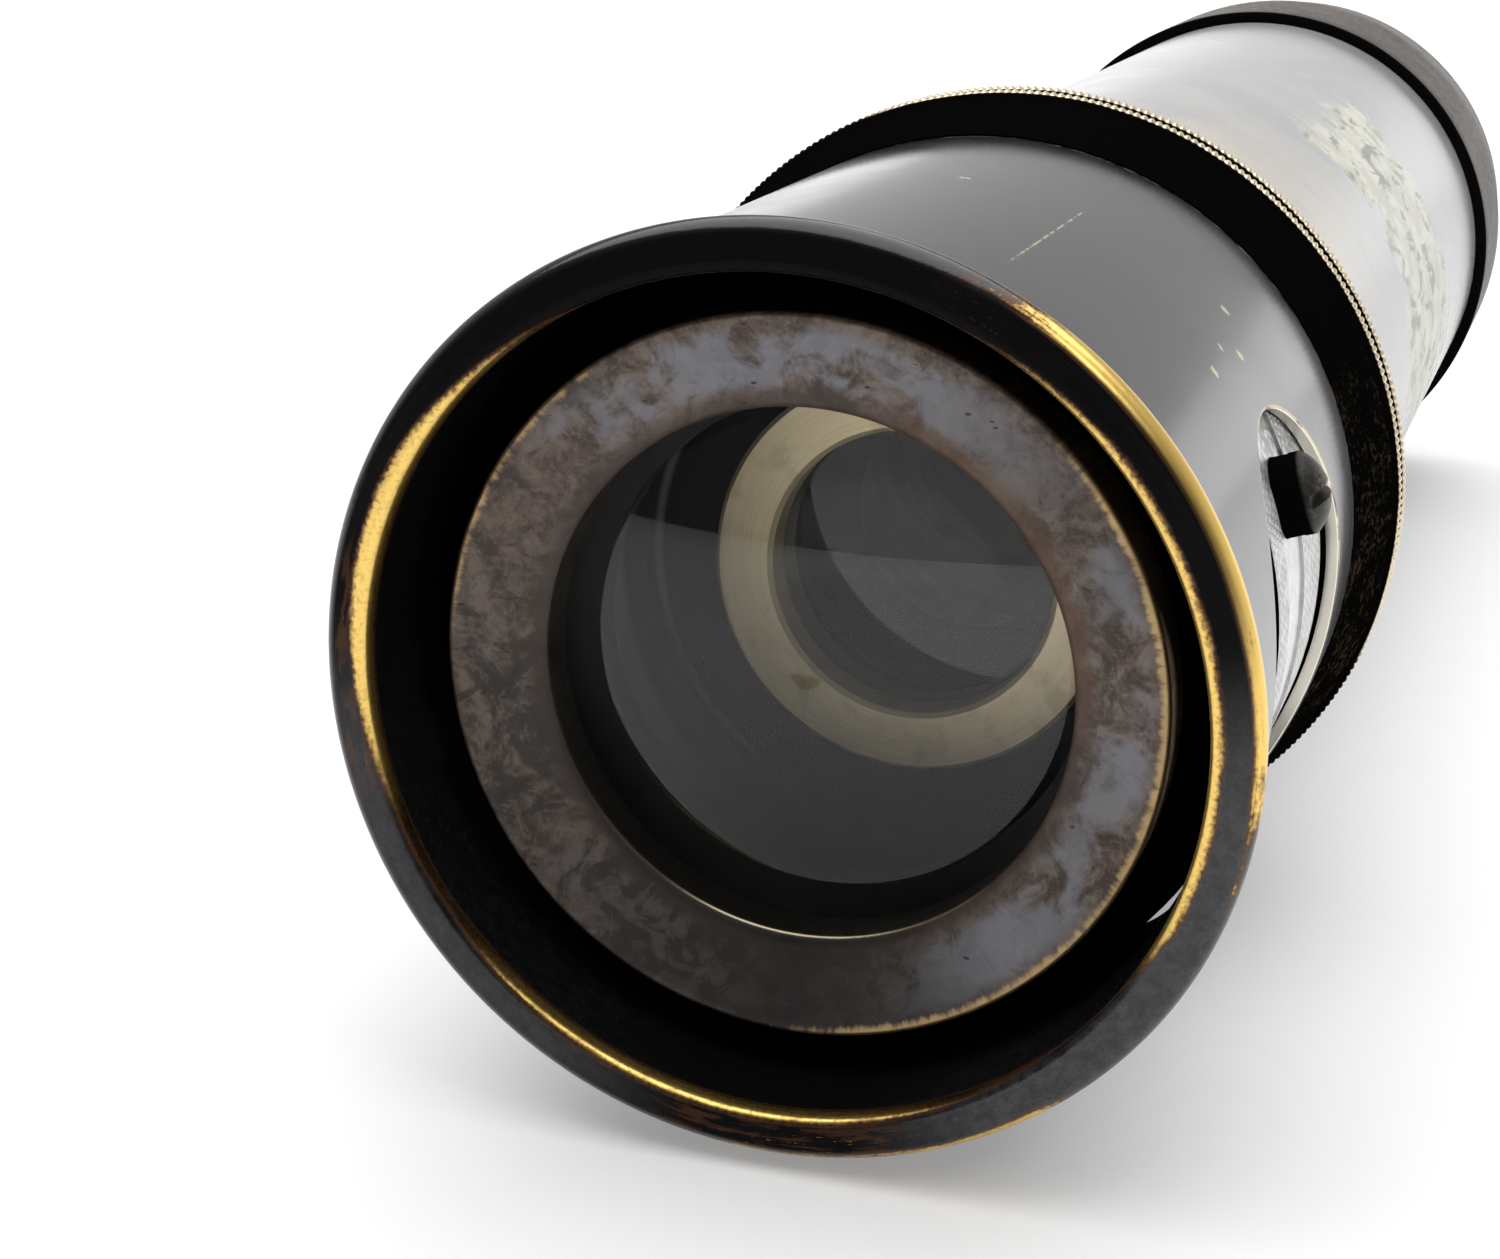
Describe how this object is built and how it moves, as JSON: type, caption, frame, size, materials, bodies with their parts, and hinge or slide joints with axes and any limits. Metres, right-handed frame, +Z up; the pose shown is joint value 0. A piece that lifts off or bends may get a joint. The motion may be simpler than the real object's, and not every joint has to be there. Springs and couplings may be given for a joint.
{
  "type": "spyglass",
  "caption": "Short terrestrial telescope with a flared eye rim, a thumb-turned focus ring behind a side window, a knurled collar and a long body tube with a front ferrule.",
  "frame": {"origin": "middle of the whole length, on the optical axis", "axes": "+Y along the optical axis from the eye towards the view, +Z up, +X to the right, where the thumb window is"},
  "size_m": [0.055, 0.187, 0.055],
  "materials": {
    "tube_metal": "worn satin grey over brass",
    "sleeve_metal": "satin black lacquer over brass",
    "rim_lacquer": "black lacquer worn to brass",
    "collar_lacquer": "black lacquer worn to brass on the beads",
    "bare_brass": "dull turned brass",
    "black_brass": "blackened brass",
    "black_inside": "matt black",
    "ferrule_metal": "dark brown-grey over brass",
    "spacer_foil": "thin tin foil",
    "ring_metal": "knurled, dark in the cuts",
    "screw_steel": "blackened, worn on the head",
    "cell_patina": "mottled patina with fine cracks",
    "brushed_brass": "turned rings, bright",
    "lens_glass": "polished"
  },
  "bodies": {
    "telescope": {"body_tube": "tube_metal", "eyepiece_sleeve": "sleeve_metal", "eye_rim": "rim_lacquer", "knurled_collar": "collar_lacquer", "guide_tube": "bare_brass", "ring_keeper": "black_brass", "glare_stop": "black_inside", "erector_tube": "black_inside", "erector_rear_carrier": "bare_brass", "erector_front_carrier": "bare_brass", "erector_rear_lens": "lens_glass", "erector_front_lens": "lens_glass", "erector_rear_retainer": "bare_brass", "erector_front_retainer": "bare_brass", "erector_stop": "black_inside", "objective_ferrule": "ferrule_metal", "objective_cell": "black_brass", "objective_flint": "lens_glass", "objective_spacer": "spacer_foil", "objective_crown": "lens_glass", "objective_retainer": "black_brass"},
    "focus_ring": {"focus_ring": "ring_metal", "drive_screw": "screw_steel"},
    "lens_tube": {"lens_tube": "black_brass", "eye_cell": "cell_patina", "eye_lens": "lens_glass", "eye_lens_retainer": "black_inside", "lens_chamber": "black_inside", "field_lens_cell": "black_inside", "brass_ring": "brushed_brass", "field_lens": "lens_glass", "field_stop": "black_inside", "guide_key": "bare_brass"}
  },
  "joints": [
    {"name": "focus_turn", "type": "hinge", "parent": "telescope", "child": "focus_ring", "pos_m": [0, -0.06625, 0], "axis": [0, 1, 0], "range_deg": [-5, 57]},
    {"name": "lens_slide", "type": "slide", "parent": "telescope", "child": "lens_tube", "axis": [0, 1, 0], "range_m": [-0.00066, 0.00759]}
  ],
  "couplings": [
    {"joint": "focus_turn", "follows": "lens_slide", "rad_per_m": 130.9}
  ]
}
